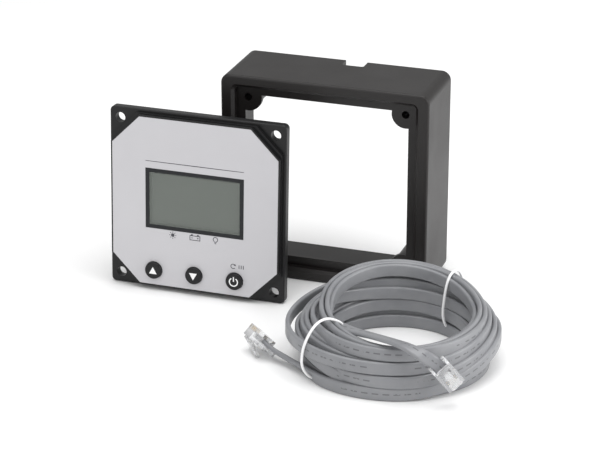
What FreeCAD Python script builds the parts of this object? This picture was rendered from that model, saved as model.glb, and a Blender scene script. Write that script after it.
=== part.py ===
# Remote display kit of a solar charge controller: a flush display panel with three
# push buttons, an open surface-mount frame for it, and a flat modular lead, coiled and
# tied, with a plug at each end.  The panel leans its rear box on the frame's rim, and
# the coil lies on the same surface in front.  Millimetres, +Z up, fronts face -Y.
# The origin is on the surface, under the middle of the panel and the frame.
import FreeCAD, Part
import math
import os
from FreeCAD import Vector as V

os.makedirs("parts", exist_ok=True)

# ---------------------------------------------------------------- driving dimensions
# display panel; u is across, v is up from its centre, w is out of its front
PANEL = 98.0                # square flange
FLANGE_T = 4.7
FLANGE_R = 2.5              # flange corner radius
BLOCK_HALF = 46.95          # raised octagonal block
BLOCK_CUT = 15.6            # how much each corner of the block is cut along a side
BLOCK_FRONT = 9.0           # w of the block's front lip
STEP_W = 6.9                # w of the step round the block
STEP_HALF = 47.4
STEP_CUT = 14.0
WALL_IN = 6.8               # w of the front wall's inner face
HOLE_SPACING = 86.4         # corner screw holes of panel and frame
PANEL_HOLE_R = 2.75
PANEL_LEAN = 3.2            # degrees that the panel leans back
PANEL_X = -33.8
PANEL_FOOT_Y = -29.75
REAR_HALF = 40.8            # rear box, smaller than the frame's opening
REAR_V = -3.4               # height of the rear box's middle
REAR_CUTS = (16.0, 12.0)    # how much its upper and its lower corners are cut
REAR_WALL = 1.6
COVER_W = -20.1             # w of the joint between rear box and cover
COVER_T = 2.4

LABEL_HALF = 46.2
LABEL_CUT = 15.3
LABEL_T = 0.35
LABEL_FLOOR = 8.6           # w of the recess that holds the label
LCD_BORDER = (55.0, 33.3)
LCD_VIEW = (50.6, 29.0)
LCD_V = 2.1                 # height of the window's centre
BOARD_WIDTH = 66.8
BOARD_GAP = 0.8             # between the board's edge and the rear box's wall
BOARD_T = 1.6
POSTS = [(-26.5, 28.0), (26.5, 28.0), (-30.5, -27.0), (30.5, -27.0)]
COVER_POSTS = [(-36.8, -16.0), (36.8, -16.0), (-36.8, 16.0), (36.8, 16.0)]

BUTTON_U = {"up": -22.8, "down": 0.0, "power": 22.8}
BUTTON_V = -38.0
BUTTON_R = 4.6
BUTTON_TIP = 10.8           # w of the button's face at rest
BUTTON_CLEAR = 0.2

SOCKET_U, SOCKET_V = -15.0, 8.0
SOCKET_SIZE = 13.4
SOCKET_BORE = (9.9, 6.8)
SOCKET_DEPTH = 13.0
CONTACT_PITCH = 1.02
CONTACTS = 6

# surface-mount frame
FRAME_W, FRAME_H, FRAME_D = 114.0, 112.5, 42.0
FRAME_X = 25.8
FRAME_BACK_Y = 40.2
FRAME_FRONT_Y = FRAME_BACK_Y - FRAME_D
FRAME_CORNER_R = 5.0
FRAME_WALL = 3.2
POCKET = 99.4               # recess that takes the panel's flange
POCKET_DEPTH = 4.8
POCKET_BEVEL = 1.6
WEB_T = 2.5                 # ledge that the flange sits on
OPENING = 89.6
LOBE_R = 7.6
BOSS_R = 6.2
BOSS_HOLE_R = 2.1
NOTCH_X, NOTCH_W, NOTCH_D = 5.0, 12.0, 7.8

# flat lead, its coil and ties
CABLE_W = 6.6
COIL_X, COIL_Y = 90.05, -78.77
COIL_TURN = 18.69           # degrees that the coil's oval is turned
COIL_A, COIL_B = 54.2, 50.0
HOLE_A, HOLE_B, HOLE_SHIFT = 36.6, 41.8, 3.3
COIL_LOW, COIL_HIGH = 28.6, 34.6      # coil height at its front and its rear
LEFT_LEAD = [(27.0, -95.6, 6.9), (32.6, -98.9, 5.4), (39.0, -101.4, 4.1),
             (45.4, -104.7, 3.5), (51.2, -109.2, 3.3), (56.2, -114.6, 3.3)]
RIGHT_LEAD = [(54.5, -89.0, 22.0), (59.5, -96.2, 23.2), (67.0, -102.2, 24.6),
              (77.0, -107.8, 26.3), (88.5, -113.3, 28.6), (100.0, -119.0, 30.9),
              (109.2, -123.9, 31.9), (116.4, -126.2, 29.3), (121.3, -124.3, 25.6),
              (124.2, -121.7, 21.3)]
TIE_R = 0.6
TIE_BEND = 6.0              # radius of a tie's four bends
TIE_SLACK = (3.4, 2.0)      # how much wider and higher a tie is than the coil there
TIES = {"left": (204.0, 0.60, 1.0), "right": (50.0, 0.70, 1.0)}

# modular plugs: x across, y towards the nose, z towards the latch, origin at the middle
PLUG = (9.65, 12.4, 6.6)
PLUG_RAIL = (1.3, 4.8, 2.6)
LATCH_T = 0.9
LATCH_LEAN = 15.0
LATCH_LENGTH = 13.5
PLUG_PLACES = {
    "left": {"at": (22.2, -91.8, 7.8), "nose": (-0.76, 0.60, 0.14), "latch": (-0.515, -0.488, -0.706)},
    "right": {"at": (127.2, -119.2, 16.4), "nose": (0.475, 0.391, -0.788), "latch": (0.635, -0.772, 0.0)},
}


# ---------------------------------------------------------------- shared helpers
def save(name, shape):
    """Write one node, and complain about anything that is not clean solids."""
    if not shape.Solids or not shape.isValid():
        print("BAD SHAPE", name)
    shape.exportStep("parts/%s.step" % name)
    print("%-22s solids %2d volume %9.1f" % (name, len(shape.Solids), shape.Volume))


def group(shapes):
    return Part.makeCompound(shapes)


def box(u, v, w0, w1, size_u, size_v):
    """A block centred at (u, v) that runs from w0 to w1, in the panel's upright frame."""
    return Part.makeBox(size_u, w1 - w0, size_v, V(u - size_u / 2, -w1, v - size_v / 2))


def rod(u, v, w0, w1, radius):
    """A round bar along w, in the panel's upright frame."""
    return Part.makeCylinder(radius, w1 - w0, V(u, -w0, v), V(0, -1, 0))


def octagon(half, cut, w0, w1):
    """A square of the given half side with its corners cut, from w0 to w1."""
    near = half - cut
    corners = [(-near, half), (near, half), (half, near), (half, -near),
               (near, -half), (-near, -half), (-half, -near), (-half, near)]
    points = [V(u, -w0, v) for u, v in corners]
    face = Part.Face(Part.makePolygon(points + points[:1]))
    return face.extrude(V(0, w0 - w1, 0))


def rear_block(inset, w0, w1):
    """The rear box's outline drawn in by inset, a square with cut corners, from w0 to w1."""
    half = REAR_HALF - inset
    upper, lower = (half - cut + inset * (2 - math.sqrt(2)) for cut in REAR_CUTS)
    corners = [(-upper, half), (upper, half), (half, upper), (half, -lower),
               (lower, -half), (-lower, -half), (-half, -lower), (-half, upper)]
    points = [V(u, -w0, REAR_V + v) for u, v in corners]
    face = Part.Face(Part.makePolygon(points + points[:1]))
    return face.extrude(V(0, w0 - w1, 0))


def rounded_plate(width, height, w0, w1, radius):
    plate = box(0, 0, w0, w1, width, height)
    corners = [e for e in plate.Edges if abs(e.tangentAt(e.FirstParameter).y) > 0.99]
    return plate.makeFillet(radius, corners)


def corner_spots(spacing):
    half = spacing / 2
    return [(u, v) for u in (-half, half) for v in (-half, half)]


def stand_panel(shape):
    """Move a piece from the panel's upright frame to where the panel leans."""
    placed = shape.copy()
    placed.translate(V(0, 0, PANEL / 2))
    placed.rotate(V(0, 0, 0), V(1, 0, 0), -PANEL_LEAN)
    placed.translate(V(PANEL_X, PANEL_FOOT_Y, 0))
    return placed


# ---------------------------------------------------------------- display panel
def panel_housing():
    """Flange, raised octagonal block and rear skirt in one hollow moulding."""
    flange = rounded_plate(PANEL, PANEL, 0, FLANGE_T, FLANGE_R)
    front = [e for e in flange.Edges if all(abs(p.Point.y + FLANGE_T) < 1e-6 for p in e.Vertexes)]
    flange = flange.makeFillet(0.8, front)
    body = flange.fuse([octagon(STEP_HALF, STEP_CUT, FLANGE_T - 0.5, STEP_W),
                        octagon(BLOCK_HALF, BLOCK_CUT, FLANGE_T - 0.5, BLOCK_FRONT),
                        rear_block(0, COVER_W, 0.5)])
    body = body.cut(rear_block(REAR_WALL, COVER_W - 1, WALL_IN))
    posts = [rod(u, v, 0, WALL_IN + 0.5, 2.75) for u, v in POSTS]
    posts += [rod(u, v, COVER_W, WALL_IN + 0.5, 2.6) for u, v in COVER_POSTS]
    body = body.fuse(posts)
    cuts = [octagon(LABEL_HALF + 0.05, LABEL_CUT, LABEL_FLOOR, BLOCK_FRONT + 1),
            box(0, LCD_V, WALL_IN - 1, BLOCK_FRONT, LCD_VIEW[0] - 2, LCD_VIEW[1] - 2),
            box(0, LCD_V, LABEL_FLOOR - 0.8, BLOCK_FRONT, LCD_VIEW[0] + 0.1, LCD_VIEW[1] + 0.1)]
    cuts += [rod(u, v, -1, FLANGE_T + 1, PANEL_HOLE_R) for u, v in corner_spots(HOLE_SPACING)]
    cuts += [rod(u, BUTTON_V, WALL_IN - 2, BLOCK_FRONT, BUTTON_R + BUTTON_CLEAR)
             for u in BUTTON_U.values()]
    cuts += [rod(u, v, -1, 5.2, 1.15) for u, v in POSTS]
    cuts += [rod(u, v, COVER_W - 1, COVER_W + 9, 1.15) for u, v in COVER_POSTS]
    return body.cut(cuts).removeSplitter()


def front_label():
    """Printed polycarbonate label with the window and three button holes cut out."""
    top = LABEL_FLOOR + LABEL_T
    cuts = [box(0, LCD_V, LABEL_FLOOR - 1, top + 1, *LCD_BORDER)]
    cuts += [rod(u, BUTTON_V, LABEL_FLOOR - 1, top + 1, BUTTON_R + BUTTON_CLEAR)
             for u in BUTTON_U.values()]
    return octagon(LABEL_HALF, LABEL_CUT, LABEL_FLOOR, top).cut(cuts)


def lcd_border():
    """Dark surround that masks the edge of the display."""
    outer = box(0, LCD_V, LABEL_FLOOR, LABEL_FLOOR + LABEL_T, LCD_BORDER[0] - 0.1, LCD_BORDER[1] - 0.1)
    return outer.cut(box(0, LCD_V, 0, 12, LCD_VIEW[0], LCD_VIEW[1]))


def display_stack():
    """Window, glass cell, diffuser and the two rubber contact strips beside them."""
    window = box(0, LCD_V, LABEL_FLOOR - 0.8, LABEL_FLOOR + 0.2, *LCD_VIEW)
    cell = box(0, LCD_V, 2.7, 5.5, 58.0, 37.0)
    diffuser = box(0, LCD_V, 0, 2.6, 56.0, 30.0)
    strips = [box(0, LCD_V + side * 17.0, 0, 2.7, 54.0, 2.4) for side in (-1, 1)]
    return window, cell, diffuser, group(strips)


def button(u):
    """Round cap with retaining wings behind the wall and a stem to its switch."""
    cap = rod(u, BUTTON_V, 5.9, BUTTON_TIP, BUTTON_R)
    rim = [e for e in cap.Edges if abs(e.BoundBox.YMin + BUTTON_TIP) < 1e-6
           and abs(e.BoundBox.YMax + BUTTON_TIP) < 1e-6]
    cap = cap.makeFillet(0.5, rim)
    wings = box(u, BUTTON_V, 5.7, WALL_IN - 0.1, 12.8, 5.0)
    stem = rod(u, BUTTON_V, 4.5, 6.0, 1.6)
    return cap.fuse([wings, stem]).removeSplitter()


def switch_body(u):
    """Square tactile switch with a well for its plunger."""
    body = box(u, BUTTON_V, 0, 3.5, 6.0, 6.0)
    return body.cut(rod(u, BUTTON_V, 2.3, 4.0, 1.9))


def display_board():
    board = rear_block(REAR_WALL + BOARD_GAP, -BOARD_T, 0)
    board = board.common(box(0, REAR_V, -BOARD_T, 0, BOARD_WIDTH, 2 * REAR_HALF))
    holes = [rod(u, v, -3, 1, 1.35) for u, v in POSTS]
    return board.cut(holes)


def board_parts():
    """What the circuit board carries on its rear face, by node name."""
    rear = -BOARD_T
    chip = box(12, 8, rear - 1.4, rear, 10, 10)
    crystal = box(12, -6, rear - 3.5, rear, 11, 4.6)
    cans = [rod(u, v, rear - 7.0, rear, 3.15) for u, v in ((27, 4), (27, 14), (2, 28))]
    buzzer = rod(18, -24, rear - 5.5, rear, 4.75)
    chips = [box(-10 + 4.2 * i, -24, rear - 0.6, rear, 2.0, 1.25) for i in range(5)]
    chips += [box(22.5, 22 + 2.6 * i, rear - 0.6, rear, 2.0, 1.25) for i in range(4)]
    return {"microcontroller": chip, "crystal": crystal, "capacitors": group(cans),
            "buzzer": buzzer, "resistors": group(chips)}


def modular_socket():
    """Upright six-way socket: a square shell whose mouth is flush with the rear cover."""
    rear = COVER_W - COVER_T
    shell = box(SOCKET_U, SOCKET_V, rear, -BOARD_T, SOCKET_SIZE, SOCKET_SIZE)
    bore = box(SOCKET_U, SOCKET_V, rear - 1, rear + SOCKET_DEPTH, *SOCKET_BORE)
    keyway = box(SOCKET_U, SOCKET_V - 4.2, rear - 1, rear + SOCKET_DEPTH, 6.4, 2.4)
    lip = box(SOCKET_U, SOCKET_V - 4.9, rear - 1, rear + SOCKET_DEPTH, 3.4, 2.2)
    return shell.cut([bore, keyway, lip])


def socket_contacts():
    """Six sprung wires along the upper wall of the socket's bore."""
    rear = COVER_W - COVER_T
    wires = []
    for i in range(CONTACTS):
        u = SOCKET_U + (i - (CONTACTS - 1) / 2) * CONTACT_PITCH
        wires.append(box(u, SOCKET_V + SOCKET_BORE[1] / 2 - 0.4, rear + 2.5, rear + 11.5, 0.45, 0.7))
    return group(wires)


def rear_cover():
    """Flat back plate with a locating lip, the socket's opening and sunk screw holes."""
    rear = COVER_W - COVER_T
    plate = rear_block(0, rear, COVER_W)
    inside = REAR_WALL + 0.3
    lip = rear_block(inside, COVER_W - 0.2, COVER_W + 2)
    lip = lip.cut(rear_block(inside + 1.4, COVER_W - 1, COVER_W + 3))
    lip = lip.cut([rod(u, v, COVER_W, COVER_W + 3, 3.0) for u, v in COVER_POSTS])
    cuts = [box(SOCKET_U, SOCKET_V, rear - 1, COVER_W + 3, SOCKET_SIZE + 0.4, SOCKET_SIZE + 0.4)]
    for u, v in COVER_POSTS:
        cuts.append(rod(u, v, rear - 1, COVER_W + 1, 1.5))
        cuts.append(rod(u, v, rear - 1, rear + 1.5, 2.9))
    return plate.fuse(lip).cut(cuts).removeSplitter()


def screws(spots, seat, head_r, head_t, shank_r, length):
    """Pan-head screws driven forwards from w = seat, each with a cross slot."""
    made = []
    for u, v in spots:
        screw = rod(u, v, seat - head_t, seat, head_r).fuse(rod(u, v, seat - 0.1, seat + length, shank_r))
        slots = [box(u, v, seat - head_t - 1, seat - head_t + 0.7, a, b)
                 for a, b in ((0.6, head_r * 1.3), (head_r * 1.3, 0.6))]
        made.append(screw.cut(slots).removeSplitter())
    return group(made)


# ---------------------------------------------------------------- surface-mount frame
def surface_frame():
    """Open box moulding: thick front rim, ledge, thin walls, four screw bosses, a notch."""
    front, back = 0.0, -FRAME_D
    outer = rounded_plate(FRAME_W, FRAME_H, back, front, FRAME_CORNER_R)
    rim = [e for e in outer.Edges if all(abs(p.Point.y - front) < 1e-6 for p in e.Vertexes)]
    outer = outer.makeFillet(1.4, rim)
    ledge_back = -POCKET_DEPTH - WEB_T
    hollow = rounded_plate(FRAME_W - 2 * FRAME_WALL, FRAME_H - 2 * FRAME_WALL, back - 1, ledge_back,
                           FRAME_CORNER_R - FRAME_WALL)
    pocket = rounded_plate(POCKET, POCKET, -POCKET_DEPTH, 1, FLANGE_R)
    mouth = rounded_plate(POCKET + 2 * POCKET_BEVEL + 2, POCKET + 2 * POCKET_BEVEL + 2,
                          -POCKET_BEVEL, 1, FLANGE_R + 2)
    inner = [e for e in mouth.Edges if all(abs(p.Point.y - POCKET_BEVEL) < 1e-6 for p in e.Vertexes)]
    mouth = mouth.makeChamfer(POCKET_BEVEL + 0.99, inner)    # just short of its 1 mm overhang
    opening = box(0, 0, back - 1, 1, OPENING, OPENING)
    body = outer.cut([hollow, pocket, mouth, opening])
    spots = corner_spots(HOLE_SPACING)
    lobes = [rod(u, v, ledge_back, -POCKET_DEPTH, LOBE_R) for u, v in spots]
    bosses = [rod(u, v, back, ledge_back + 0.2, BOSS_R) for u, v in spots]
    within = box(0, 0, back - 1, 1, FRAME_W - 1, FRAME_H - 1)
    body = body.fuse([piece.common(within) for piece in lobes + bosses])
    cuts = [rod(u, v, back - 1, 1, BOSS_HOLE_R) for u, v in spots]
    notch = Part.makeBox(NOTCH_W, NOTCH_D + 2, 12,
                         V(NOTCH_X - NOTCH_W / 2, FRAME_D - NOTCH_D, FRAME_H / 2 - 6))
    near = [e for e in notch.Edges if abs(e.tangentAt(e.FirstParameter).z) > 0.99
            and e.BoundBox.YMin < FRAME_D - NOTCH_D + 0.01]
    cuts.append(notch.makeFillet(1.5, near))
    body = body.cut(cuts).removeSplitter()
    body.translate(V(FRAME_X, FRAME_FRONT_Y, FRAME_H / 2))
    return body


# ---------------------------------------------------------------- flat lead and coil
def coil_point(angle, share, z):
    """A point of the coil's oval: angle in degrees from its right, share of its radius."""
    turn = math.radians(COIL_TURN)
    a = share * COIL_A * math.cos(math.radians(angle))
    b = share * COIL_B * math.sin(math.radians(angle))
    return V(COIL_X + a * math.cos(turn) - b * math.sin(turn),
             COIL_Y + a * math.sin(turn) + b * math.cos(turn), z)


def oval(half_a, half_b, shift):
    """An upright oval column on the surface, its long side along the coil's turn."""
    if half_a > half_b:
        curve = Part.Ellipse(V(shift, 0, 0), half_a, half_b)
    else:
        curve = Part.Ellipse(V(shift, half_b, 0), V(shift + half_a, 0, 0), V(shift, 0, 0))
    column = Part.Face(Part.Wire(curve.toShape())).extrude(V(0, 0, 60))
    column.rotate(V(0, 0, 0), V(0, 0, 1), COIL_TURN)
    column.translate(V(COIL_X, COIL_Y, 0))
    return column


def tie_loop(name):
    """A wire loop round the bundle, in the upright plane along the coil's radius."""
    angle, inner_share, outer_share = TIES[name]
    outer = coil_point(angle, outer_share, 0)
    inner = coil_point(angle, inner_share, 0)
    across = outer - inner
    width = across.Length + TIE_SLACK[0]
    across.normalize()
    middle = (outer + inner) / 2
    depth = (middle - V(COIL_X, COIL_Y, 0)).dot(V(-math.sin(math.radians(COIL_TURN)),
                                                  math.cos(math.radians(COIL_TURN)), 0))
    top = (COIL_LOW + COIL_HIGH) / 2 + depth * (COIL_HIGH - COIL_LOW) / (2 * COIL_B)
    top += TIE_SLACK[1]
    low = TIE_R
    radius = TIE_BEND
    half = width / 2
    spots = [(-half + radius, low), (half - radius, low), (half, low + radius), (half, top - radius),
             (half - radius, top), (-half + radius, top), (-half, top - radius), (-half, low + radius)]
    at = [middle + across * s + V(0, 0, z) for s, z in spots]
    bulge = radius * (1 - math.sqrt(0.5))
    mids = [(half - bulge, low + bulge), (half - bulge, top - bulge),
            (-half + bulge, top - bulge), (-half + bulge, low + bulge)]
    mid = [middle + across * s + V(0, 0, z) for s, z in mids]
    edges = []
    for i in range(4):
        edges.append(Part.LineSegment(at[2 * i], at[2 * i + 1]).toShape())
        edges.append(Part.Arc(at[2 * i + 1], mid[i], at[(2 * i + 2) % 8]).toShape())
    path = Part.Wire(edges)
    start = at[0]
    ring = Part.Wire(Part.Circle(start, across, TIE_R).toShape())
    return path.makePipeShell([ring], True, False)


def cable_coil():
    """The coil's outer shape: an oval ring, lower at the front, grooved under its ties."""
    ring = oval(COIL_A, COIL_B, 0).cut(oval(HOLE_A, HOLE_B, HOLE_SHIFT))
    slope = math.degrees(math.atan2(COIL_HIGH - COIL_LOW, 2 * COIL_B))
    lid = Part.makeBox(300, 300, 100, V(-150, -150, 0))
    lid.rotate(V(0, 0, 0), V(1, 0, 0), slope)
    lid.rotate(V(0, 0, 0), V(0, 0, 1), COIL_TURN)
    lid.translate(V(COIL_X, COIL_Y, (COIL_LOW + COIL_HIGH) / 2))
    grooves = []
    for angle, inner_share, outer_share in TIES.values():
        outer = coil_point(angle, outer_share + 0.1, 0)
        inner = coil_point(angle, inner_share - 0.1, 0)
        groove = Part.makeBox((outer - inner).Length, 3.0, 2 * TIE_R + 0.3, V(0, -1.5, 0))
        heading = outer - inner
        groove.rotate(V(0, 0, 0), V(0, 0, 1), math.degrees(math.atan2(heading.y, heading.x)))
        groove.translate(inner)
        grooves.append(groove)
    return ring.cut([lid] + grooves)


def lead_tube(name, route):
    """A round tube along straight runs joined by the largest tangent arcs that fit."""
    points = [V(*p) for p in route]
    edges = []
    radii = []
    start = points[0]
    for before, corner, after in zip(points, points[1:], points[2:]):
        run_in, run_out = corner - before, after - corner
        shorter = min(run_in.Length, run_out.Length)
        turn = run_in.getAngle(run_out)
        radius = 0.45 * shorter / math.tan(turn / 2)
        radii.append(radius)
        run_in.normalize()
        run_out.normalize()
        enter = corner - run_in * (0.45 * shorter)
        leave = corner + run_out * (0.45 * shorter)
        inward = run_out - run_in
        inward.normalize()
        centre_off = radius / math.cos(turn / 2)
        middle = corner + inward * (centre_off - radius)
        edges.append(Part.LineSegment(start, enter).toShape())
        edges.append(Part.Arc(enter, middle, leave).toShape())
        start = leave
    edges.append(Part.LineSegment(start, points[-1]).toShape())
    path = Part.Wire(edges)
    first = points[1] - points[0]
    section = Part.Wire(Part.Circle(points[0], first, CABLE_W / 2).toShape())
    tube = path.makePipeShell([section], True, False)
    expect = math.pi * (CABLE_W / 2) ** 2 * path.Length
    print(name, "length %.1f" % path.Length, "radii", [round(r, 1) for r in radii],
          "volume ratio %.4f" % (tube.Volume / expect))
    return tube


# ---------------------------------------------------------------- modular plugs
def plug_body():
    """Clear six-way plug body with side rails, a lead channel, contact slots, a clamp window."""
    width, length, height = PLUG
    body = Part.makeBox(width, length, height, V(-width / 2, -length / 2, -height / 2))
    rails = []
    rail_w, rail_l, rail_h = PLUG_RAIL
    for x in (-width / 2, width / 2 - rail_w):
        rails.append(Part.makeBox(rail_w, rail_l + 0.5, rail_h,
                                  V(x, -length / 2 - rail_l, height / 2 - rail_h)))
    body = body.fuse(rails)
    cuts = [Part.makeBox(CABLE_W + 0.3, 8.0, 2.8, V(-(CABLE_W + 0.3) / 2, -length / 2 - 1, -1.4)),
            Part.makeBox(5.6, 2.2, 3.0, V(-2.8, -4.4, height / 2 - 1.4)),
            Part.makeBox(6.4, 3.4, 0.9, V(-3.2, length / 2 - 8.2, height / 2 - 0.9))]
    for i in range(CONTACTS):
        x = (i - (CONTACTS - 1) / 2) * CONTACT_PITCH
        cuts.append(Part.makeBox(0.5, 4.2, 2.7, V(x - 0.25, length / 2 - 4.4, -height / 2 - 0.1)))
    return body.cut(cuts).removeSplitter()


def plug_contacts():
    """Six gold blades, each standing in its own slot near the nose."""
    length, height = PLUG[1], PLUG[2]
    blades = []
    for i in range(CONTACTS):
        x = (i - (CONTACTS - 1) / 2) * CONTACT_PITCH
        blades.append(Part.makeBox(0.36, 3.4, 2.1, V(x - 0.18, length / 2 - 4.1, -height / 2 + 0.35)))
    return group(blades)


def plug_latch():
    """Springy tongue: a wide root at the nose and a narrow finger grip behind."""
    root = Part.makeBox(6.2, 5.2, LATCH_T, V(-3.1, -5.2, 0))
    grip = Part.makeBox(3.4, LATCH_LENGTH, LATCH_T, V(-1.7, -LATCH_LENGTH, 0))
    tongue = root.fuse(grip).removeSplitter()
    tongue.rotate(V(0, 0, 0), V(1, 0, 0), -LATCH_LEAN)
    tongue.translate(V(0, PLUG[1] / 2 - 0.4, PLUG[2] / 2 + 0.25))
    return tongue


def place_plug(shape, name):
    """Stand a plug piece where the plug lies, from its nose and latch directions."""
    spot = PLUG_PLACES[name]
    nose = V(*spot["nose"]).normalize()
    latch = V(*spot["latch"])
    latch = (latch - nose * latch.dot(nose)).normalize()
    side = nose.cross(latch)
    x, y, z = spot["at"]
    matrix = FreeCAD.Matrix(side.x, nose.x, latch.x, x,
                            side.y, nose.y, latch.y, y,
                            side.z, nose.z, latch.z, z,
                            0, 0, 0, 1)
    placed = shape.copy()
    placed.transformShape(matrix, True)
    return placed


# ---------------------------------------------------------------- build every node
window, cell, diffuser, strips = display_stack()
panel_nodes = {"panel_housing": panel_housing(), "front_label": front_label(), "lcd_border": lcd_border(),
               "lcd_window": window, "lcd_cell": cell, "lcd_diffuser": diffuser,
               "lcd_contact_strips": strips, "display_board": display_board(),
               "tact_switches": group([switch_body(u) for u in BUTTON_U.values()]),
               "modular_socket": modular_socket(), "socket_contacts": socket_contacts(),
               "rear_cover": rear_cover(),
               "board_screws": screws(POSTS, -BOARD_T, 2.2, 1.4, 1.1, 6.0),
               "cover_screws": screws(COVER_POSTS, COVER_W - COVER_T + 1.5, 2.7, 1.3, 1.1, 9.0)}
panel_nodes.update(board_parts())
for name, u in BUTTON_U.items():
    panel_nodes["button_" + name] = button(u)
    panel_nodes["plunger_" + name] = rod(u, BUTTON_V, 3.1, 4.5, 1.7)
for name, shape in panel_nodes.items():
    save(name, stand_panel(shape))

save("surface_frame", surface_frame())
save("cable_coil", cable_coil())
for name in TIES:
    save("tie_" + name, tie_loop(name))
save("cable_lead_left", lead_tube("cable_lead_left", LEFT_LEAD))
save("cable_lead_right", lead_tube("cable_lead_right", RIGHT_LEAD))
for name in PLUG_PLACES:
    save("plug_body_" + name, place_plug(plug_body(), name))
    save("plug_contacts_" + name, place_plug(plug_contacts(), name))
    save("plug_latch_" + name, place_plug(plug_latch(), name))
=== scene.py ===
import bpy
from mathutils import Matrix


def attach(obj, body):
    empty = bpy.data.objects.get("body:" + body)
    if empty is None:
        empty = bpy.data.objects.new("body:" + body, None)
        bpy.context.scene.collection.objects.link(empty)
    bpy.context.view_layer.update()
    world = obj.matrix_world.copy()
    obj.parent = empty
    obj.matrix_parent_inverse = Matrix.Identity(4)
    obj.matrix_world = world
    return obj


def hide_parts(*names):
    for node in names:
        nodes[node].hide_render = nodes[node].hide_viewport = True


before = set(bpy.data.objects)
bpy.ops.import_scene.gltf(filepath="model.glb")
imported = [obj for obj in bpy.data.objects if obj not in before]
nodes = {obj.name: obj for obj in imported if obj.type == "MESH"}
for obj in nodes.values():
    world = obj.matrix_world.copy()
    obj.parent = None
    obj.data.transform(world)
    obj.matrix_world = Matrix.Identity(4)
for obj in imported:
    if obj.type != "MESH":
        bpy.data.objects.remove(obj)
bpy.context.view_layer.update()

import math

import bpy
import numpy as np
from mathutils import Vector

scene = bpy.context.scene

# ---------------------------------------------------------------- studio
# A white table under soft boxes: a broad one overhead, a strong one to the right that
# lights the frame's side wall, and a weak one in front.  The camera looks a little down.
scene.view_settings.view_transform = "Standard"
world = bpy.data.worlds.new("studio")
world.use_nodes = True
sky = world.node_tree.nodes["Background"]
sky.inputs["Color"].default_value = (1.0, 1.0, 1.0, 1.0)
sky.inputs["Strength"].default_value = 0.6
scene.world = world


def soft_box(name, place, target, size, power):
    """A square area light at place that faces target."""
    light = bpy.data.lights.new(name, "AREA")
    light.size = size
    light.energy = power
    holder = bpy.data.objects.new(name, light)
    holder.location = place
    holder.rotation_euler = (Vector(target) - Vector(place)).to_track_quat("-Z", "Y").to_euler()
    scene.collection.objects.link(holder)


soft_box("overhead box", (0.1, -0.1, 1.3), (0.05, -0.06, 0.0), 1.1, 12.0)
soft_box("right box", (1.2, -0.1, 0.45), (0.05, -0.05, 0.05), 0.8, 9.0)
soft_box("front box", (-0.35, -1.3, 0.8), (0.0, -0.05, 0.05), 0.9, 4.0)

CAMERA_AIM, CAMERA_DISTANCE = Vector((0.02593, -0.0318, 0.04588)), 1.2085
TO_THE_RIGHT, ABOVE = math.radians(18.69), math.radians(22.81)
away = Vector((math.sin(TO_THE_RIGHT) * math.cos(ABOVE),
               -math.cos(TO_THE_RIGHT) * math.cos(ABOVE), math.sin(ABOVE)))
lens = bpy.data.cameras.new("camera")
lens.lens = 137.8
lens.sensor_width = 36.0
lens.clip_start = 0.05
camera = bpy.data.objects.new("camera", lens)
camera.location = CAMERA_AIM + away * CAMERA_DISTANCE
camera.rotation_euler = (-away).to_track_quat("-Z", "Y").to_euler()
scene.collection.objects.link(camera)
scene.camera = camera

# ---------------------------------------------------------------- the lead
# About 4.7 m of flat six-wire modular cable, grey PVC, 6.6 mm wide and 2.4 mm thick.
# It is wound on edge into an oval coil of loose storeys and ends in two plugs.
CABLE_WIDTH, CABLE_THICK, CABLE_ROUND = 0.0066, 0.0024, 0.00105
COIL_MIDDLE = np.array([0.09005, -0.07877])
COIL_LONG, COIL_SHORT, COIL_TURN = 0.0542, 0.0500, math.radians(18.69)
POINTS_A_TURN = 24
START_ANGLE = 222.0

# where each turn lies as it passes the coil's front, right, rear and left: how far it is
# inside the outer oval, and the height of its middle, in millimetres
front = [(4.6, 3.3), (7.1, 3.3), (9.5, 3.3), (11.9, 3.3), (14.3, 3.3), (14.3, 9.9), (11.9, 9.9),
         (9.5, 9.9), (7.1, 9.9), (4.6, 9.9), (5.8, 16.5), (8.3, 16.5), (10.8, 16.5),
         (13.3, 16.5), (7.2, 22.9), (9.6, 23.2), (12.1, 22.2)]
right = [(3.2, 16.7), (8.3, 3.3), (10.8, 3.3), (13.2, 3.3), (15.6, 3.3), (15.6, 9.9),
         (13.2, 9.9), (10.8, 9.9), (8.3, 9.9), (5.4, 19.7), (8.0, 22.7), (8.6, 16.0),
         (11.0, 16.5), (13.4, 16.5), (10.4, 25.2), (13.0, 26.7), (15.5, 24.5)]
rear = [(0.8, 10.0), (2.9, 3.3), (5.3, 3.3), (7.7, 6.0), (10.1, 3.3), (8.9, 12.0), (6.4, 13.5),
        (3.9, 12.0), (1.4, 17.0), (2.0, 24.5), (4.5, 24.0), (7.0, 22.8), (4.2, 17.5),
        (9.2, 18.6), (2.8, 31.2), (5.5, 31.2), (8.2, 31.2)]
left = [(4.3, 16.7), (7.5, 3.3), (10.0, 3.3), (12.5, 3.3), (15.0, 3.3), (17.0, 9.9),
        (14.5, 9.9), (12.0, 9.9), (9.5, 9.9), (-0.9, 18.5), (6.7, 19.5), (8.9, 21.5),
        (12.4, 17.0), (12.1, 24.3), (16.6, 27.0), (19.2, 27.5), (21.0, 25.0)]
stations = np.array([front, right, rear, left]).transpose(1, 0, 2).reshape(-1, 2) / 1000
station_turns = (np.arange(len(stations)) / 4) + (270.0 - START_ANGLE) / 360

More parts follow.
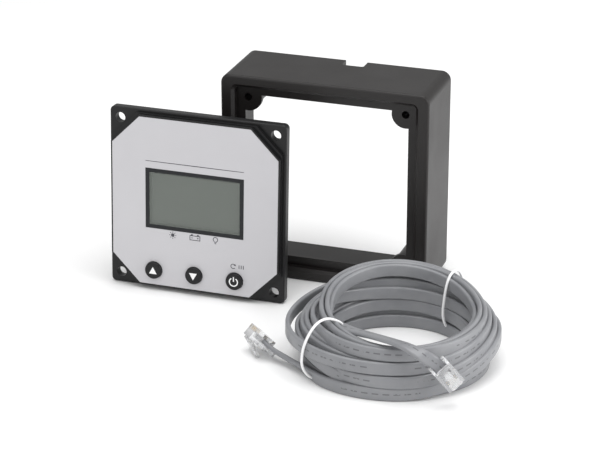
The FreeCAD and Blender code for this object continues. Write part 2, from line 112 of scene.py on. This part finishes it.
left_end = [(22.5, -92.0, 7.7), (27.0, -95.6, 6.9), (32.6, -98.9, 5.4), (39.0, -101.4, 4.1),
            (45.4, -104.7, 3.5), (51.2, -109.2, 3.3), (57.6, -114.4, 3.3)]
right_end = [(59.3, -96.2, 24.2), (67.0, -102.2, 25.2), (77.0, -107.8, 26.8),
             (88.5, -113.3, 28.6), (100.0, -119.0, 30.0), (109.2, -123.9, 30.6),
             (116.4, -126.2, 28.6), (121.3, -124.3, 25.2), (124.25, -121.62, 21.3),
             (127.0, -119.4, 16.7)]
# the way the flat cable's width points at each of those points, from and to its plugs
left_widths = [(-0.355, -0.609, 0.680)] * 5 + [(-0.27, -0.46, 0.84), (-0.10, -0.18, 0.97)]
right_widths = [(0.28, 0.52, 0.80), (0.42, 0.80, 0.30), (0.47, 0.83, -0.10),
                (0.48, 0.83, -0.24), (0.49, 0.82, -0.22), (0.53, 0.80, -0.04),
                (0.59, 0.71, 0.25), (0.608, 0.56, 0.53), (0.608, 0.500, 0.615),
                (0.608, 0.500, 0.615)]


def on_oval(degrees, inset):
    """Centre + ((long - inset) cos, (short - inset) sin), turned with the coil."""
    across = (COIL_LONG - inset) * np.cos(np.radians(degrees))
    deep = (COIL_SHORT - inset) * np.sin(np.radians(degrees))
    x = COIL_MIDDLE[0] + across * math.cos(COIL_TURN) - deep * math.sin(COIL_TURN)
    y = COIL_MIDDLE[1] + across * math.sin(COIL_TURN) + deep * math.cos(COIL_TURN)
    return x, y


def eased(at, keys, values):
    """Values between keys along half a cosine wave, level at each key."""
    before = np.clip(np.searchsorted(keys, at, side="right") - 1, 0, len(keys) - 2)
    share = np.clip((at - keys[before]) / (keys[before + 1] - keys[before]), 0, 1)
    share = (1 - np.cos(np.pi * share)) / 2
    return values[before] + (values[before + 1] - values[before]) * share


def smooth_line(points, steps, ring=False):
    """Points read from the NURBS spline that has the given control points."""
    curve = bpy.data.curves.new("line", "CURVE")
    curve.dimensions = "3D"
    spline = curve.splines.new("NURBS")
    spline.points.add(len(points) - 1)
    spline.points.foreach_set("co", np.c_[points, np.ones(len(points))].ravel())
    spline.order_u = 3
    spline.use_cyclic_u = ring
    spline.use_endpoint_u = not ring
    spline.resolution_u = steps
    holder = bpy.data.objects.new("line", curve)
    mesh = bpy.data.meshes.new_from_object(holder)
    line = np.empty(len(mesh.vertices) * 3)
    mesh.vertices.foreach_get("co", line)
    bpy.data.objects.remove(holder)
    bpy.data.meshes.remove(mesh)
    bpy.data.curves.remove(curve)
    return line.reshape(-1, 3)


def unit(vectors):
    return vectors / np.linalg.norm(vectors, axis=-1, keepdims=True)


NOISE_LOW, NOISE_HIGH = 0.3, 0.7
# the Mix node's sockets for colours, by number: it has others with the same names
COLOUR_A, COLOUR_B, COLOUR_RESULT = 6, 7, 2


class Value:
    """One output of a material's nodes.  Sums and products on it add Math nodes."""

    def __init__(self, finish, socket):
        self.finish = finish
        self.socket = socket

    def maths(self, operation, *values):
        return self.finish.add("ShaderNodeMath", {"operation": operation}, dict(enumerate(values)))

    def __add__(self, other):
        return self.maths("ADD", self, other)

    def __sub__(self, other):
        return self.maths("SUBTRACT", self, other)

    def __rsub__(self, other):
        return self.maths("SUBTRACT", other, self)

    def __mul__(self, other):
        return self.maths("MULTIPLY", self, other)

    def __truediv__(self, other):
        return self.maths("DIVIDE", self, other)

    def __rtruediv__(self, other):
        return self.maths("DIVIDE", other, self)

    def __lt__(self, other):
        return self.maths("LESS_THAN", self, other)

    def __gt__(self, other):
        return self.maths("GREATER_THAN", self, other)

    def __abs__(self):
        return self.maths("ABSOLUTE", self)

    def fraction(self):
        return self.maths("FRACT", self)

    def ramp(self, start, end):
        """Slides from start to end as a noise goes through its usual range."""
        values = {"Value": self, "From Min": NOISE_LOW, "From Max": NOISE_HIGH,
                  "To Min": start, "To Max": end}
        return self.finish.add("ShaderNodeMapRange", {"clamp": True}, values)

    __radd__ = __add__
    __rmul__ = __mul__


class Finish:
    """A material being made, with its Principled shader."""

    def __init__(self, name, **constants):
        self.material = bpy.data.materials.new(name)
        self.material.use_nodes = True
        self.tree = self.material.node_tree
        self.shader = self.tree.nodes["Principled BSDF"]
        for key, value in constants.items():
            self.put(self.shader.inputs[key.replace("_", " ")], value)

    def put(self, socket, value):
        if isinstance(value, Value):
            self.tree.links.new(value.socket, socket)
        else:
            socket.default_value = value

    def add(self, kind, settings=None, inputs=None, output=0):
        """A node of this kind: its settings first, then its sockets' values or links."""
        node = self.tree.nodes.new(kind)
        for key, value in (settings or {}).items():
            setattr(node, key, value)
        for key, value in (inputs or {}).items():
            self.put(node.inputs[key], value)
        return Value(self, node.outputs[output])

    def place(self, what="Object"):
        return self.add("ShaderNodeTexCoord", output=what)

    def noise(self, scale, detail=2.0):
        values = {"Vector": self.place(), "Scale": scale, "Detail": detail}
        return self.add("ShaderNodeTexNoise", inputs=values, output="Fac")

    def mix(self, factor, first, second):
        """The first colour where factor is 0 and the second where it is 1."""
        values = {0: factor}
        for number, colour in ((COLOUR_A, first), (COLOUR_B, second)):
            values[number] = (*colour, 1.0) if isinstance(colour, tuple) else colour
        return self.add("ShaderNodeMix", {"data_type": "RGBA"}, values, COLOUR_RESULT)

    def set(self, **varying):
        for key, value in varying.items():
            self.put(self.shader.inputs[key.replace("_", " ")], value)

    def blend(self, factor, first, second):
        """Base colour that goes from the first colour to the second with factor."""
        self.set(Base_Color=self.mix(factor, first, second))

    def relief(self, height, depth):
        """Bump of the given depth in metres."""
        values = {"Height": height, "Distance": depth, "Strength": 1.0}
        self.set(Normal=self.add("ShaderNodeBump", inputs=values))


def grid_mesh(name, points, capped=True):
    """A tube of quads over a grid of points: rows along it and columns round it."""
    rows, columns = points.shape[:2]
    row, column = np.meshgrid(np.arange(rows - 1), np.arange(columns), indexing="ij")
    beside = (column + 1) % columns
    quads = np.stack([row * columns + column, (row + 1) * columns + column,
                      (row + 1) * columns + beside, row * columns + beside], axis=-1)
    faces = quads.reshape(-1, 4).tolist()
    if capped:
        faces.append(list(range(columns)))
        faces.append(list(range((rows - 1) * columns, rows * columns))[::-1])
    mesh = bpy.data.meshes.new(name)
    mesh.from_pydata(points.reshape(-1, 3).tolist(), [], faces)
    mesh.validate()
    mesh.polygons.foreach_set("use_smooth", np.ones(len(mesh.polygons), bool))
    piece = bpy.data.objects.new(name, mesh)
    scene.collection.objects.link(piece)
    return piece


turns = np.arange(0.0, station_turns[-1] + 0.001, 1 / POINTS_A_TURN)
angles = START_ANGLE + 360 * turns
insets = eased(turns, station_turns, stations[:, 0])
heights = eased(turns, station_turns, stations[:, 1])
# two waves along the winding, each repeating after the given turns, loosen the strands
WANDER_ACROSS, WANDER_UP = 0.00022, 0.00025
WAVE_TURNS, WAVE_PHASE, BEAT_TURNS = 1.9 / 2.7, 0.8, 1.37
wander = (np.sin(turns * 2 * np.pi / WAVE_TURNS + WAVE_PHASE)
          * np.sin(turns * 2 * np.pi / BEAT_TURNS))
x, y = on_oval(angles, insets + WANDER_ACROSS * wander)
coil = np.stack([x, y, np.maximum(heights + WANDER_UP * wander, CABLE_WIDTH / 2)], axis=1)
route = np.vstack([np.array(left_end) / 1000, coil, np.array(right_end) / 1000])

# the way the cable's width points at each control point: upright in the coil, its top
# leaning inwards in the upper storeys and outwards at the rear
SECOND_STOREY, STOREYS_ABOVE = 0.0099, 0.013
LEAN_IN, LEAN_OUT = 14, 6
inwards = np.c_[unit(COIL_MIDDLE - coil[:, :2]), np.zeros(len(coil))]
towards_front = (1 - np.sin(np.radians(angles))) / 2
storey = np.clip((coil[:, 2] - SECOND_STOREY) / STOREYS_ABOVE, 0, 1)
lean = np.radians(LEAN_IN * storey * towards_front - LEAN_OUT * (1 - towards_front))
upright = np.array([0.0, 0.0, 1.0])
widths = upright * np.cos(lean)[:, None] + inwards * np.sin(lean)[:, None]
widths = np.vstack([left_widths, widths, right_widths])

SPLINE_STEPS = 5
line = smooth_line(route, SPLINE_STEPS)
# a spline of n points has n - 2 spans, and each inner point pulls most halfway along one
spots = np.linspace(0, len(route) - 2, len(line))
controls = np.r_[0, np.arange(len(route) - 2) + 0.5, len(route) - 2]
width_way = np.stack([np.interp(spots, controls, widths[:, i]) for i in range(3)], axis=1)


def swept(line, width_way, profile, ring=False):
    """Grid of points: the profile (across the thickness, along the width) carried along
    the line, its width kept as near to the given directions as the line's heading allows."""
    if ring:
        heading = unit(np.roll(line, -1, axis=0) - np.roll(line, 1, axis=0))
    else:
        heading = unit(np.gradient(line, axis=0))
    width = unit(width_way - heading * (width_way * heading).sum(1, keepdims=True))
    thick = np.cross(heading, width)
    through, sideways = profile[None, :, :1], profile[None, :, 1:]
    grid = line[:, None] + thick[:, None] * through + width[:, None] * sideways
    return np.vstack([grid, grid[:1]]) if ring else grid


def rounded_profile(thick, wide, radius, steps=5):
    """Outline of a rectangle whose four corners are arcs of the given radius."""
    turn = np.linspace(0, np.pi / 2, steps)
    corners = []
    for k, (sx, sy) in enumerate(((1, 1), (-1, 1), (-1, -1), (1, -1))):
        centre = np.array([sx * (thick / 2 - radius), sy * (wide / 2 - radius)])
        arc = np.stack([np.cos(turn + k * np.pi / 2), np.sin(turn + k * np.pi / 2)], axis=1)
        corners.append(centre + radius * arc)
    return np.vstack(corners)


profile = rounded_profile(CABLE_THICK, CABLE_WIDTH, CABLE_ROUND)
lead = grid_mesh("flat_lead", swept(line, width_way, profile))


def strip_uv(piece, columns, run, girth):
    """UV of a swept grid: u in metres along it, v as metres round it."""
    layer = piece.data.uv_layers.new(name="strip")
    loops = np.empty(len(piece.data.loops), int)
    piece.data.loops.foreach_get("vertex_index", loops)
    row, column = loops // columns, loops % columns
    starts = np.zeros(len(piece.data.polygons), int)
    totals = np.zeros(len(piece.data.polygons), int)
    piece.data.polygons.foreach_get("loop_start", starts)
    piece.data.polygons.foreach_get("loop_total", totals)
    owner = np.repeat(np.arange(len(starts)), totals)
    lowest = np.minimum.reduceat(column, starts)[owner]
    highest = np.maximum.reduceat(column, starts)[owner]
    wraps = (highest - lowest > columns / 2) & (column == 0) & (totals[owner] == 4)
    v = np.where(wraps, girth[-1], girth[column])
    layer.data.foreach_set("uv", np.stack([run[row], v], axis=1).ravel())


run = np.r_[0, np.cumsum(np.linalg.norm(np.diff(line, axis=0), axis=1))]
sides = np.diff(profile, axis=0, append=profile[:1])
girth = np.r_[0, np.cumsum(np.linalg.norm(sides, axis=1))]
strip_uv(lead, len(profile), run, girth)

jacket = Finish("grey cable jacket", Specular_IOR_Level=0.55)
strip_place = {"Vector": jacket.place("UV")}
along, round_it = (jacket.add("ShaderNodeSeparateXYZ", inputs=strip_place, output=axis)
                   for axis in ("X", "Y"))
patch = jacket.noise(90.0, 3.0)
words = jacket.noise(520.0, 1.0)
# a row of dashes in groups, a little off the middle of the face that looks outwards
DASH_PITCH, DASH_SHARE, GROUP_PITCH, GROUP_SHARE, GAP_BELOW = 0.0052, 0.62, 0.061, 0.66, 0.4
ROW_ASIDE, ROW_HALF, ROW_DARKNESS = 0.0004, 0.00035, 0.55
face_middle = float(girth[-2] + girth[-1]) / 2
dashes = ((along / DASH_PITCH).fraction() < DASH_SHARE) * (words > GAP_BELOW)
groups = (along / GROUP_PITCH).fraction() < GROUP_SHARE
on_row = abs(round_it - face_middle - ROW_ASIDE) < ROW_HALF
print_mask = dashes * groups * on_row * ROW_DARKNESS
tone = jacket.mix(patch.ramp(0.0, 1.0), (0.196, 0.200, 0.212), (0.232, 0.236, 0.247))
jacket.blend(print_mask, tone, (0.03, 0.03, 0.035))
jacket.set(Roughness=patch.ramp(0.30, 0.40))
jacket.relief(jacket.noise(1400.0, 2.0) + patch * 3, 0.00002)
lead.data.materials.append(jacket.material)

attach(lead, "kit")
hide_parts("cable_coil", "cable_lead_left", "cable_lead_right")

# ---------------------------------------------------------------- twist ties
# Two lengths of white plastic-coated wire, 1.2 mm thick, pulled tight round the bundle.
# Each lies in the upright plane along the coil's radius; points are inset and height.
TIE_HALF, TIE_STEPS = 0.00062, 6
tie_rings = {
    "left": (212.0, [(24.0, 22), (21.8, 27.6), (16.6, 30.8), (12.9, 32.2), (8.9, 31.8),
                     (5.5, 29.8), (2.0, 25.5), (-0.6, 20.2), (-1.6, 15.1), (-1.6, 10.7),
                     (0.3, 6), (4, 2.2), (9, 0.75), (17, 0.7), (22, 2.2), (23.6, 8),
                     (23.4, 16)]),
    "right": (50.0, [(-0.8, 24), (1.0, 29.4), (3.2, 33.0), (6.8, 34.5), (11.2, 33.4), (14.0, 28.7),
                     (15.8, 21.0), (16.8, 13.0), (14.4, 6.5), (9.0, 1.2), (4, 0.7), (0, 2.5),
                     (-1.6, 9), (-1.7, 17)]),
}
white = Finish("white tie plastic", Roughness=0.35)
white.blend(white.noise(300.0), (0.78, 0.78, 0.79), (0.88, 0.88, 0.88))
white.relief(white.noise(1500.0, 2.0), 0.00003)
tie_outline = rounded_profile(2 * TIE_HALF, 2.3 * TIE_HALF, 0.95 * TIE_HALF, steps=4)
for side, (degrees, ring) in tie_rings.items():
    inset, height = np.array(ring).T / 1000
    x, y = on_oval(degrees, inset)
    loop = smooth_line(np.stack([x, y, height], axis=1), TIE_STEPS, ring=True)
    ahead = np.array(on_oval(degrees + 1, 0)) - np.array(on_oval(degrees, 0))
    side_way = np.tile(np.r_[unit(ahead), 0.0], (len(loop), 1))
    wire = swept(loop, side_way, tie_outline, ring=True)
    tie = grid_mesh("tie_" + side + "_wire", wire, capped=False)
    tie.data.materials.append(white.material)
    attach(tie, "kit")
    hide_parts("tie_" + side)

# ---------------------------------------------------------------- modular plugs
# Six-way plugs moulded in clear polycarbonate, latch and all, crimped on the lead's
# ends, with six gold-plated blades each.
clear = Finish("clear polycarbonate", Base_Color=(0.96, 0.965, 0.975, 1.0),
               Roughness=0.09, IOR=1.5, Transmission_Weight=0.78)
clear.relief(clear.noise(400.0, 2.0), 0.00006)
gold = Finish("gold plating", Metallic=1.0, Roughness=0.25)
gold.blend(gold.noise(900.0), (0.85, 0.60, 0.25), (0.92, 0.70, 0.34))


def paint(finish, *names):
    for name in names:
        nodes[name].data.materials.clear()
        nodes[name].data.materials.append(finish.material)


paint(clear, "plug_body_left", "plug_body_right", "plug_latch_left", "plug_latch_right")
paint(gold, "plug_contacts_left", "plug_contacts_right", "socket_contacts")

# ---------------------------------------------------------------- panel housing and cover
# Black ABS mouldings with a fine satin grain: the flange with its raised octagonal block
# and rear box, and the flat cover that four screws hold on behind.
satin = Finish("black satin moulding", Specular_IOR_Level=0.33)
grain = satin.noise(3200.0, 2.0)
flow = satin.noise(45.0, 3.0)
satin.blend(flow, (0.0055, 0.0055, 0.0060), (0.0078, 0.0078, 0.0084))
satin.set(Roughness=flow.ramp(0.36, 0.44))
satin.relief(grain, 0.00003)
paint(satin, "panel_housing", "rear_cover")

# ---------------------------------------------------------------- front label
# Light grey printed polycarbonate film, glued in the block's recess.  A dark line stands
# over the display, and three small signs under it and one over a button name the readings.
film = Finish("grey label film", Specular_IOR_Level=0.4)
haze = film.noise(60.0, 2.0)
film.blend(haze, (0.512, 0.506, 0.526), (0.540, 0.534, 0.553))
film.set(Roughness=haze.ramp(0.42, 0.5))
film.relief(film.noise(2600.0, 1.0), 0.000012)
paint(film, "front_label")

PRINT_FACE, PRINT_LIFT, PRINT_THICK = 0.00895, 0.00003, 0.00002
PANEL_X, PANEL_FOOT_Y, PANEL_HALF, PANEL_LEAN = -0.0338, -0.02975, 0.049, math.radians(3.2)


def on_panel(u, v, w):
    """Row position of a spot u across, v up from the panel's middle and w out of it."""
    u, v, w = np.broadcast_arrays(u, v, w)
    up = v + PANEL_HALF
    y = -w * math.cos(PANEL_LEAN) + up * math.sin(PANEL_LEAN)
    z = w * math.sin(PANEL_LEAN) + up * math.cos(PANEL_LEAN)
    return np.stack([u + PANEL_X, y + PANEL_FOOT_Y, z], axis=-1)


def band(path, width):
    """Strip along a path of the panel's face, in millimetres, with one width or one a point."""
    path = np.asarray(path, float) / 1000
    width = np.broadcast_to(np.asarray(width, float) / 1000, len(path))
    heading = unit(np.gradient(path, axis=0))
    across = np.stack([-heading[:, 1], heading[:, 0]], axis=1)
    half = across * width[:, None] / 2
    return np.stack([path - half, path + half], axis=1)


def arc(centre, radius, start, end, steps=24):
    turn = np.radians(np.linspace(start, end, steps))
    return np.stack([centre[0] + radius * np.cos(turn), centre[1] + radius * np.sin(turn)], axis=1)


def ink(name, strips, face, finish, body):
    """Printed strips, each a grid of quads on the panel's face, with a hair of thickness."""
    points, faces = [], []
    for strip in strips:
        base = sum(len(p) for p in points)
        rows = len(strip)
        points.append(on_panel(strip[..., 0], strip[..., 1], face + PRINT_LIFT).reshape(-1, 3))
        row = base + 2 * np.arange(rows - 1)
        faces += np.stack([row, row + 2, row + 3, row + 1], axis=1).tolist()
    mesh = bpy.data.meshes.new(name)
    mesh.from_pydata(np.vstack(points).tolist(), [], faces)
    mesh.validate()
    mesh.update()
    facing = np.empty(len(mesh.polygons) * 3)
    mesh.polygons.foreach_get("normal", facing)
    if facing.reshape(-1, 3)[:, 1].mean() > 0:
        mesh.flip_normals()
    piece = bpy.data.objects.new(name, mesh)
    scene.collection.objects.link(piece)
    shell = piece.modifiers.new("thickness", "SOLIDIFY")
    shell.thickness = PRINT_THICK
    shell.offset = -1
    mesh.materials.append(finish.material)
    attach(piece, body)


dark_ink = Finish("dark print", Roughness=0.4)
dark_ink.blend(dark_ink.noise(2000.0), (0.035, 0.035, 0.045), (0.055, 0.055, 0.065))
line_over = [band([(-27.4, 22.6), (0, 22.6), (27.4, 22.6)], [0.3, 0.42, 0.3])]
ink("print_line", line_over, PRINT_FACE, dark_ink, "kit")

SUN_U, SUN_V, RAY_ENDS = -12.1, -17.0, (1.4, 2.0)
sun = [band(arc((SUN_U, SUN_V), 0.5, 0, 360), 1.0)]
sun += [band([(SUN_U + end * math.cos(ray), SUN_V + end * math.sin(ray)) for end in RAY_ENDS], 0.36)
        for ray in np.radians(np.arange(0, 360, 45))]
battery = [band([(-2.6, -15.9), (3.4, -15.9)], 0.4), band([(-2.6, -18.3), (3.4, -18.3)], 0.4),
           band([(-2.4, -16.1), (-2.4, -18.1)], 0.4), band([(3.2, -16.1), (3.2, -18.1)], 0.4),
           band([(-1.8, -15.4), (-0.8, -15.4)], 0.6), band([(1.6, -15.4), (2.6, -15.4)], 0.6),
           band([(-1.7, -17.1), (-0.7, -17.1)], 0.3), band([(1.5, -17.1), (2.5, -17.1)], 0.3),
           band([(2.0, -16.65), (2.0, -17.55)], 0.3)]
lamp = [band(arc((11.9, -16.4), 1.25, -60, 240), 0.4), band([(11.2, -17.8), (12.6, -17.8)], 0.4),
        band([(11.4, -18.6), (12.4, -18.6)], 0.4)]
again = [band(arc((21.9, -29.9), 1.25, 30, 320), 0.4),
         band([(22.6, -28.9), (23.5, -29.6)], [1.3, 0.05])]
again += [band([(u, -30.9), (u, -28.9)], 0.45) for u in (25.2, 26.4, 27.6)]
for name, strips in (("sun", sun), ("battery", battery), ("lamp", lamp), ("again", again)):
    ink("print_" + name, strips, PRINT_FACE, dark_ink, "kit")

# ---------------------------------------------------------------- display
# A reflective liquid crystal cell, grey-green and blank, on a white diffuser, behind a
# thin clear window with a dark printed border.
border = Finish("dark display border", Roughness=0.33, Specular_IOR_Level=0.25)
border.blend(border.noise(120.0), (0.011, 0.012, 0.014), (0.015, 0.016, 0.018))
paint(border, "lcd_border")
crystal_glass = Finish("blank liquid crystal", Roughness=0.3)
crystal_glass.blend(crystal_glass.noise(30.0), (0.172, 0.186, 0.172), (0.188, 0.202, 0.188))
crystal_glass.relief(crystal_glass.noise(4000.0), 0.000004)
paint(crystal_glass, "lcd_cell")
window = Finish("clear window", Base_Color=(0.19, 0.21, 0.19, 1.0), Roughness=0.12, Alpha=0.55)
window.relief(window.noise(60.0), 0.00001)
paint(window, "lcd_window")
diffuser = Finish("white diffuser", Roughness=0.6)
diffuser.blend(diffuser.noise(80.0), (0.76, 0.77, 0.75), (0.82, 0.82, 0.80))
paint(diffuser, "lcd_diffuser")
rubber = Finish("striped contact rubber", Roughness=0.7)
layers = rubber.add("ShaderNodeTexWave", {"bands_direction": "X"},
                    {"Vector": rubber.place(), "Scale": 1600.0}, "Fac")
rubber.blend(layers, (0.55, 0.42, 0.42), (0.08, 0.08, 0.08))
paint(rubber, "lcd_contact_strips")

# ---------------------------------------------------------------- push buttons
# Three round caps in smooth black plastic with white pad-printed signs: up, down, power.
# Each pushes a small grey plunger in its tactile switch.
cap = Finish("black button cap", Specular_IOR_Level=0.3)
wear = cap.noise(500.0, 3.0)
cap.blend(wear, (0.004, 0.004, 0.005), (0.007, 0.007, 0.008))
cap.set(Roughness=wear.ramp(0.28, 0.38))
cap.relief(cap.noise(3500.0), 0.00001)
paint(cap, "button_up", "button_down", "button_power")
plunger = Finish("grey plunger", Roughness=0.5)
plunger.blend(plunger.noise(700.0), (0.10, 0.10, 0.10), (0.14, 0.14, 0.14))
paint(plunger, "plunger_up", "plunger_down", "plunger_power")

BUTTON_PITCH, BUTTON_V, BUTTON_FACE = 22.8, -38.0, 0.0108
TRIANGLE_BACK, TRIANGLE_TIP, TRIANGLE_WIDTH, TIP_WIDTH = 1.7, 2.2, 4.4, 0.02


def triangle(u, way):
    """Triangle on the cap at u that points up, way 1, or down, way -1."""
    ends = [(u, BUTTON_V - way * TRIANGLE_BACK), (u, BUTTON_V + way * TRIANGLE_TIP)]
    return band(ends, [TRIANGLE_WIDTH, TIP_WIDTH])


white_ink = Finish("white print", Roughness=0.4)
white_ink.blend(white_ink.noise(2500.0), (0.80, 0.80, 0.80), (0.90, 0.90, 0.90))
signs = {
    "up": [triangle(-BUTTON_PITCH, 1)],
    "down": [triangle(0.0, -1)],
    "power": [band(arc((BUTTON_PITCH, BUTTON_V), 2.25, 122, 418, 36), 0.62),
              band([(BUTTON_PITCH, BUTTON_V + 0.2), (BUTTON_PITCH, BUTTON_V + 2.9)], 0.62)],
}
for name, strokes in signs.items():
    ink("sign_" + name, strokes, BUTTON_FACE, white_ink, "button_" + name)

# ---------------------------------------------------------------- circuit board and back
# Green epoxy board with its parts, and what shows behind: the socket flush with the cover
# and four cross-slotted screws.
board = Finish("green board", Roughness=0.35)
tracks = board.add("ShaderNodeTexVoronoi", {"feature": "DISTANCE_TO_EDGE"},
                   {"Vector": board.place(), "Scale": 260.0}, "Distance")
board.blend(tracks < 0.06, (0.012, 0.085, 0.030), (0.04, 0.20, 0.08))
paint(board, "display_board")
socket_black = Finish("black socket plastic", Roughness=0.45)
socket_black.blend(socket_black.noise(200.0), (0.02, 0.02, 0.02), (0.03, 0.03, 0.03))
socket_black.relief(socket_black.noise(1800.0), 0.00002)
paint(socket_black, "modular_socket", "tact_switches", "buzzer", "microcontroller")
steel = Finish("plated steel", Metallic=1.0)
scratches = steel.noise(900.0, 4.0)
steel.blend(scratches, (0.50, 0.50, 0.52), (0.66, 0.66, 0.67))
steel.set(Roughness=scratches.ramp(0.28, 0.42))
paint(steel, "board_screws", "cover_screws", "crystal", "capacitors")
ceramic = Finish("chip resistors", Roughness=0.5)
ceramic.blend(ceramic.noise(1500.0), (0.02, 0.02, 0.02), (0.5, 0.5, 0.48))
paint(ceramic, "resistors")

# ---------------------------------------------------------------- surface-mount frame
# One deep black ABS moulding with a slightly brown, satin grain, open in the middle.
frame_black = Finish("black frame moulding", Specular_IOR_Level=0.38)
fine = frame_black.noise(2600.0, 2.0)
cloud = frame_black.noise(30.0, 3.0)
frame_black.blend(cloud, (0.0098, 0.0084, 0.0080), (0.0124, 0.0107, 0.0102))
frame_black.set(Roughness=cloud.ramp(0.38, 0.46))
frame_black.relief(fine, 0.00004)
paint(frame_black, "surface_frame")

table = bpy.data.meshes.new("table_top")
TABLE_HALF = 4
corners = [(i * TABLE_HALF, j * TABLE_HALF, 0) for i, j in ((-1, -1), (1, -1), (1, 1), (-1, 1))]
table.from_pydata(corners, [], [(0, 1, 2, 3)])
floor = bpy.data.objects.new("table_top", table)
scene.collection.objects.link(floor)
chalk = Finish("white table", Roughness=0.6)
chalk.blend(chalk.noise(3.0), (0.90, 0.90, 0.90), (0.92, 0.92, 0.92))
table.materials.append(chalk.material)
